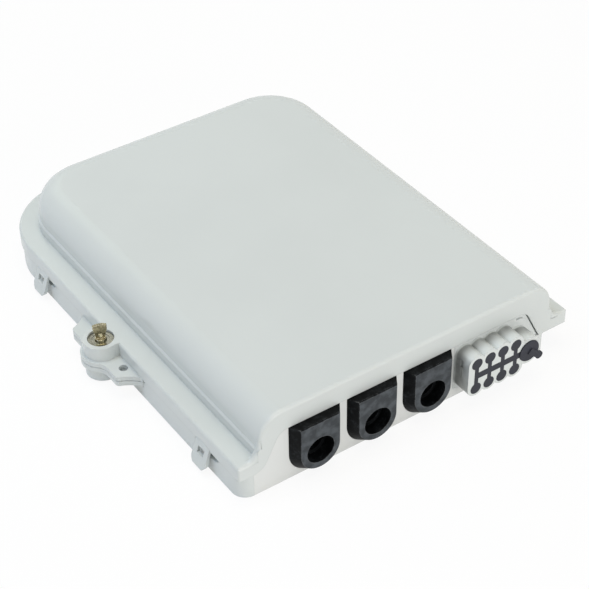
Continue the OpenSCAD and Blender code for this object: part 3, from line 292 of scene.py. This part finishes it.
def metal_with_painted_reflections(name, look, edge=0.12 * MM):
    """Plated die casting: olive-grey colour and dark patches are painted reflection of dark
    surroundings; edges rubbed bright are partly wear, partly painted highlight.
    """
    finish = Finish(name)
    # Dark patches: painted reflection of dark surroundings in the plating; they also roughen and
    # raise the surface.
    stains = finish.noise(170.0, 4.0).above(0.43, 0.57)
    scratches = finish.noise(1.0, 3.0, finish.stretched(2500.0, 350.0, 900.0)).above(0.45, 0.7)
    # Edges rubbed bright: partly real wear, partly a painted highlight along the rims.
    rubbed = finish.edges(0.28 * MM).above(0.05, 0.25)
    dull = finish.mix(stains * 0.6, rgba(look.colour), rgba(look.colour, 0.45))
    worked = finish.mix(scratches * 0.45, dull, rgba(look.colour, 1.9))
    colour = finish.mix(rubbed, worked, POLISH_AND_HIGHLIGHT_COLOUR)
    return finish.surface(
        Base_Color=colour,
        Roughness=look.roughness + stains * 0.12 + scratches * 0.10,
        Metallic=1.0,
        Normal=finish.bump(scratches + stains * 0.6, look.grain, finish.worn_edge(edge)),
    )


def plated_metal(name, look, edge=0.15 * MM):
    """Nickel plating over turned or cast metal: fine turning lines, fingerprints and dull spots."""
    finish = Finish(name)
    lines = finish.noise(1.0, 2.0, finish.stretched(300.0, 300.0, 9000.0))
    prints = finish.noise(260.0, 4.0).above(0.48, 0.7)
    colour = finish.mix(prints * 0.5, rgba(look.colour), rgba(look.colour, 0.82))
    roughness = look.roughness + prints * 0.12 + lines * 0.06
    return finish.surface(
        Base_Color=colour,
        Roughness=roughness,
        Metallic=1.0,
        Normal=finish.bump(lines, look.grain, finish.worn_edge(edge)),
    )


class LookSettings(bpy.types.PropertyGroup):
    """Colour, gloss and grain of one finish."""

    colour: FloatVectorProperty(
        name="Colour",
        description="Base colour of the finish",
        subtype="COLOR",
        min=0.0,
        max=1.0,
        default=(0.6, 0.6, 0.6),
    )
    roughness: FloatProperty(
        name="Roughness", description="How dull the surface is", min=0.0, max=1.0, default=0.4
    )
    grain: FloatProperty(
        name="Grain depth",
        description="Depth of the fine grain",
        min=0.0,
        default=0.01 * MM,
        subtype="DISTANCE",
        unit="LENGTH",
    )


# Colour, roughness and grain depth of each finish, by the slot that the nodes name.
LOOKS = {
    "shell_plastic": ((0.645, 0.682, 0.672), 0.24, 0.0025 * MM),
    "inner_plastic": ((0.62, 0.64, 0.63), 0.48, 0.010 * MM),
    "tray_plastic": ((0.76, 0.77, 0.75), 0.45, 0.008 * MM),
    "cap_plastic": ((0.80, 0.80, 0.77), 0.35, 0.004 * MM),
    "adapter_plastic": ((0.022, 0.235, 0.090), 0.38, 0.006 * MM),
    # Lighter copy of the shell plastic for the cable wall: painted light on the cable face.
    "wall_plastic": ((0.715, 0.735, 0.725), 0.22, 0.0025 * MM),
    "port_plastic": ((0.665, 0.700, 0.690), 0.30, 0.004 * MM),
    "grommet_rubber": ((0.0035, 0.0040, 0.0045), 0.42, 0.030 * MM),
    "seal_rubber": ((0.027, 0.029, 0.039), 0.45, 0.020 * MM),
    "gasket_rubber": ((0.030, 0.030, 0.031), 0.80, 0.040 * MM),
    "comb_rubber": ((0.045, 0.050, 0.057), 0.60, 0.020 * MM),
    # The lock's and the key's colours are made dark as painted reflection of dark surroundings in
    # their plating.
    "lock_chrome": ((0.32, 0.310, 0.255), 0.15, 0.006 * MM),
    "key_metal": ((0.37, 0.33, 0.21), 0.22, 0.004 * MM),
    "screw_steel": ((0.56, 0.56, 0.55), 0.32, 0.003 * MM),
    "post_brass": ((0.66, 0.47, 0.19), 0.28, 0.003 * MM),
}

# Maker of a look, by its full name or by the last word of it. Any other look is plated metal.
MAKERS = {
    "plastic": moulded_plastic,
    "rubber": moulded_rubber,
    "port_plastic": port_plastic,
    "grommet_rubber": grommet_rubber,
    "lock_chrome": metal_with_painted_reflections,
    "key_metal": metal_with_painted_reflections,
}

# The materials made so far, by look.
FINISHES = {}

# Nodes whose finish differs a little from the rest of their slot. The cable wall's lighter plastic
# is painted light on the cable face; the port block's finish carries painted shade.
NODE_LOOKS = {
    "cable_wall": "wall_plastic",
    "drop_port_block": "port_plastic",
    "key": "key_metal",
}

# Side and distance of the square lamps, in metres.
LAMP_SIZE = 0.6
LAMP_DISTANCE = 1.3

# Name, azimuth and elevation in degrees, and colour of each lamp. Azimuth 0 is the side of the
# cable face, 90 the hinge side.
LAMPS = (
    ("top", 0.0, 90.0, (1.0, 0.92, 0.75)),
    ("front", 6.0, 12.0, (1.0, 0.97, 0.94)),
    ("left", 250.0, 57.0, (0.63, 0.77, 1.0)),
    ("back", 180.0, 35.0, (0.8, 1.0, 0.8)),
)


class StageSettings(bpy.types.PropertyGroup):
    """Camera and light."""

    azimuth: FloatProperty(
        name="Azimuth",
        description="Turn of the view round the box",
        subtype="ANGLE",
        default=math.radians(-33.847),
    )
    elevation: FloatProperty(
        name="Elevation",
        description="Height of the view above the horizon",
        subtype="ANGLE",
        default=math.radians(39.082),
    )
    roll: FloatProperty(
        name="Roll",
        description="Tilt of the camera",
        subtype="ANGLE",
        default=math.radians(-1.007),
    )
    distance: FloatProperty(
        name="Distance",
        description="Camera to the point it looks at",
        subtype="DISTANCE",
        unit="LENGTH",
        default=0.78315,
    )
    lens: FloatProperty(name="Lens", description="Focal length in millimetres", default=102.3)
    aim: FloatVectorProperty(
        name="Aim",
        description="Point the camera looks at",
        subtype="XYZ",
        unit="LENGTH",
        default=(-0.0058, -0.0316, 0.020),
    )
    ambient: FloatProperty(
        name="Ambient",
        description="Strength of the light from all round",
        min=0.0,
        default=0.385,
    )
    top_power: FloatProperty(
        name="Top power", description="Power of the lamp overhead", min=0.0, default=5.8
    )
    front_power: FloatProperty(
        name="Front power",
        description="Power of the low lamp before the cable face",
        min=0.0,
        default=6.0,
    )
    left_power: FloatProperty(
        name="Left power",
        description="Power of the high lamp on the lock side",
        min=0.0,
        default=4.8,
    )
    back_power: FloatProperty(
        name="Back power",
        description="Power of the lamp behind the rounded end",
        min=0.0,
        default=0.8,
    )


def length(name, description, default):
    """A length that the panel shows and that a user may change."""
    return FloatProperty(
        name=name,
        description=description,
        min=0.0,
        default=default,
        subtype="DISTANCE",
        unit="LENGTH",
    )


class LipSettings(bpy.types.PropertyGroup):
    """Sizes of the fillets between the flange and the dome's sides at the cable face."""

    dome_inset: length("Dome inset", "From the cover's side to the dome's side", 10.9 * MM)
    reach: length("Reach", "How far a fillet runs out over the flange", 6.2 * MM)
    rise: length("Rise", "How far a fillet runs up the dome's side", 10.2 * MM)
    depth: length("Depth", "Size of a fillet along the box", 2.9 * MM)
    front_radius: length("Front radius", "Rounding of a fillet's front edge", 1.6 * MM)
    sink: length("Sink", "How far a fillet lies inside the cover's skin", 0.03 * MM)


# ---------------------------------------------------------------- operators


class BOX_OT_finishes(bpy.types.Operator):
    """Gives every node the finish of its material slot"""

    bl_idname = "box.finishes"
    bl_label = "Finishes"

    def execute(self, context):
        for part in frame["record"]["subparts"]:
            look_name = NODE_LOOKS.get(part["node"], part["material_slot"])
            for holder in bpy.data.objects[part["node"]].material_slots:
                holder.material = finish_of(look_name)
        return {"FINISHED"}


def finish_of(look_name):
    """The material of one look, built when it is first asked for."""
    if look_name not in FINISHES:
        look = getattr(bpy.context.scene.box_looks, look_name)
        maker = MAKERS.get(look_name) or MAKERS.get(look_name.split("_")[1], plated_metal)
        FINISHES[look_name] = maker(look_name, look)
    return FINISHES[look_name]


class BOX_OT_lip_fillets(bpy.types.Operator):
    """Adds the hollow-rounded lips from the flange up the dome's sides at the cable face"""

    bl_idname = "box.lip_fillets"
    bl_label = "Lip Fillets"

    def execute(self, context):
        low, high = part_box("cover_shell")
        for name, side in (("lip_fillet_left", -1.0), ("lip_fillet_right", 1.0)):
            points, faces = lip_fillet(context.scene.box_lip, high[0], low[1], side)
            piece = mesh_object(name, points, faces, smooth=True)
            piece.data.materials.append(finish_of("shell_plastic"))
            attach(piece, "cover")
        return {"FINISHED"}


def lip_fillet(sizes, half_width, front_y, side):
    """Fillet between flange and dome side, as a section carried along a quarter ellipse.

    For a from 0 to a quarter turn, the path lies at inset = dome inset - reach (1 - sin a) from
    the cover's side and at height = flange + rise (1 - cos a), so it leaves the flange flat and
    meets the dome upright. The section is a closed loop: root, back edge, top, a quarter round
    of the front radius, root.
    """
    path_steps, round_steps = 33, 11
    back_edge = np.array([0.0, 0.08 * MM, 0.30 * MM])
    root_place = np.array([sizes.dome_inset + 1.0 * MM, FLANGE_TOP - 1.1 * MM])
    root_share = 0.85

    a = np.linspace(0.0, np.pi / 2, path_steps)
    inset = sizes.dome_inset - sizes.reach + sizes.reach * np.sin(a)
    height = FLANGE_TOP + sizes.rise * (1.0 - np.cos(a))
    path = np.stack([inset, height], axis=-1)
    normal = np.stack([-np.sin(a) / sizes.reach, np.cos(a) / sizes.rise], axis=-1)
    normal /= np.linalg.norm(normal, axis=-1, keepdims=True)
    path = path - normal * sizes.sink

    phi = np.linspace(0.0, np.pi / 2, round_steps)
    below = np.concatenate([back_edge[::-1], sizes.front_radius * (1.0 - np.cos(phi))])
    behind = np.concatenate([sizes.depth - back_edge, sizes.front_radius * (1.0 - np.sin(phi))])
    skin = path[:, None, :] - normal[:, None, :] * below[None, :, None]
    root = (path + root_share * (root_place - path))[:, None, :]
    section = np.concatenate([root, skin, root], axis=1)
    depths = np.concatenate([[sizes.depth], behind, [sizes.sink]])

    grid = np.empty(section.shape[:2] + (3,))
    grid[..., 0] = side * (half_width - section[..., 0])
    grid[..., 1] = front_y + np.maximum(depths, sizes.sink)[None, :]
    grid[..., 2] = section[..., 1]
    return closed_tube(grid, flip=side > 0.0)


class BOX_OT_stage(bpy.types.Operator):
    """Adds the pale floor, the soft lamps, the world and the camera"""

    bl_idname = "box.stage"
    bl_label = "Stage"

    def execute(self, context):
        settings = context.scene.box_stage
        make_floor()
        make_world(settings)
        for name, azimuth, elevation, colour in LAMPS:
            towards = direction(math.radians(azimuth), math.radians(elevation))
            power = getattr(settings, name + "_power")
            make_lamp(name, power, towards * LAMP_DISTANCE, colour)
        make_camera(context, settings)
        context.scene.view_settings.view_transform = "Standard"
        return {"FINISHED"}


def make_floor():
    """Square floor under the box, near white to the camera except where the box shades it."""
    half, camera_glow, other_glow = 3.0, 0.91, 0.6
    corners = [[-half, -half, 0.0], [half, -half, 0.0], [half, half, 0.0], [-half, half, 0.0]]
    floor = mesh_object("floor", np.array(corners), [[0, 1, 2, 3]])
    finish = Finish("floor")
    paper = finish.node("ShaderNodeBsdfDiffuse", {}, {"Color": rgba(WHITE, 0.97)})
    glow = finish.node("ShaderNodeEmission", {}, {"Color": WHITE, "Strength": 1.0})
    share = finish.shown(camera_glow, other_glow)
    mixed = finish.node("ShaderNodeMixShader", {}, [share, paper, glow])
    finish.node("ShaderNodeOutputMaterial", {}, {"Surface": mixed})
    floor.data.materials.append(finish.material)


def make_world(settings):
    """Even surroundings: dimmed as a light, full white to the camera and to reflections."""
    world = bpy.data.worlds.new("studio")
    bpy.context.scene.world = world
    shading = Shading(world)
    strength = shading.shown(1.0, 1.0) * (1.0 - settings.ambient) + settings.ambient
    inputs = {"Color": WHITE, "Strength": strength}
    backdrop = shading.node("ShaderNodeBackground", {}, inputs)
    shading.node("ShaderNodeOutputWorld", {}, {"Surface": backdrop})


def direction(azimuth, elevation):
    """Unit vector from the box; azimuth turns from the cable face towards the hinge side."""
    level = math.cos(elevation)
    across, along = math.sin(azimuth) * level, -math.cos(azimuth) * level
    return Vector((across, along, math.sin(elevation)))


def make_lamp(name, power, place, colour):
    """Square soft lamp that faces the box."""
    lamp = bpy.data.lights.new(name, "AREA")
    lamp.energy = power
    lamp.size = LAMP_SIZE
    lamp.color = colour
    holder = bpy.data.objects.new(name, lamp)
    holder.location = place
    holder.rotation_euler = (-place).to_track_quat("-Z", "Y").to_euler()
    bpy.context.collection.objects.link(holder)


def make_camera(context, settings):
    """Camera on a sphere round its aim, with axes from azimuth, elevation and roll."""
    a, e, r = settings.azimuth, settings.elevation, settings.roll
    back = direction(a, e)
    level = Vector((math.cos(a), math.sin(a), 0.0))
    rise = back.cross(level)
    right = level * math.cos(r) + rise * math.sin(r)
    up = rise * math.cos(r) - level * math.sin(r)
    data = bpy.data.cameras.new("camera")
    data.lens = settings.lens
    data.sensor_width = 36.0
    data.clip_start = 0.01
    data.clip_end = 20.0
    camera = bpy.data.objects.new("camera", data)
    place = Matrix.Translation(Vector(settings.aim) + back * settings.distance)
    camera.matrix_world = place @ Matrix((right, up, back)).transposed().to_4x4()
    context.collection.objects.link(camera)
    context.scene.camera = camera


# ---------------------------------------------------------------- mesh helpers


def closed_tube(grid, flip):
    """Closed surface from rings of points: quads between rings and a cap on each end ring."""
    rings, around = grid.shape[:2]
    index = np.arange(rings * around).reshape(rings, around)
    beside = np.roll(index, -1, axis=1)
    quads = np.stack([index[:-1], beside[:-1], beside[1:], index[1:]], axis=-1).reshape(-1, 4)
    faces = quads.tolist() + [index[0, ::-1].tolist(), index[-1].tolist()]
    if flip:
        faces = [face[::-1] for face in faces]
    return grid.reshape(-1, 3), faces


def mesh_object(name, points, faces, smooth=False):
    """Object at the origin from an array of points and a list of faces."""
    mesh = bpy.data.meshes.new(name)
    mesh.from_pydata(points.tolist(), [], list(faces))
    if smooth:
        mesh.shade_smooth()
    else:
        mesh.shade_flat()
    mesh.update()
    made = bpy.data.objects.new(name, mesh)
    bpy.context.collection.objects.link(made)
    return made


# ---------------------------------------------------------------- panel and registration


class BoxLooks(bpy.types.PropertyGroup):
    """The look of every finish, by slot."""

    __annotations__ = {
        slot: PointerProperty(
            type=LookSettings,
            name=slot.replace("_", " ").capitalize(),
            description="Look of this finish",
        )
        for slot in LOOKS
    }


class BOX_PT_looks(bpy.types.Panel):
    """Lists the box's operators and the sizes and lights that they use"""

    bl_idname = "BOX_PT_looks"
    bl_label = "Termination Box"
    bl_space_type = "VIEW_3D"
    bl_region_type = "UI"
    bl_category = "Termination Box"

    def draw(self, context):
        for step in STEPS:
            self.layout.operator(step.bl_idname)
        for settings in (context.scene.box_lip, context.scene.box_stage):
            for name in settings.bl_rna.properties.keys():
                if name not in {"rna_type", "name"}:
                    self.layout.prop(settings, name)


STEPS = (BOX_OT_finishes, BOX_OT_lip_fillets, BOX_OT_stage)
CLASSES = (LookSettings, StageSettings, LipSettings, BoxLooks, BOX_PT_looks) + STEPS


def register():
    for each in CLASSES:
        bpy.utils.register_class(each)
    bpy.types.Scene.box_looks = PointerProperty(type=BoxLooks)
    bpy.types.Scene.box_stage = PointerProperty(type=StageSettings)
    bpy.types.Scene.box_lip = PointerProperty(type=LipSettings)


def unregister():
    del bpy.types.Scene.box_lip
    del bpy.types.Scene.box_stage
    del bpy.types.Scene.box_looks
    for each in reversed(CLASSES):
        bpy.utils.unregister_class(each)


def set_looks(looks):
    """Fills each finish's settings with its colour, roughness and grain."""
    for slot, (colour, roughness, grain) in LOOKS.items():
        look = getattr(looks, slot)
        look.colour = colour
        look.roughness = roughness
        look.grain = grain


def main():
    """Builds the whole scene."""
    register()
    set_looks(bpy.context.scene.box_looks)
    bpy.ops.box.finishes()
    bpy.ops.box.lip_fillets()
    bpy.ops.box.stage()


if __name__ == "__main__":
    main()
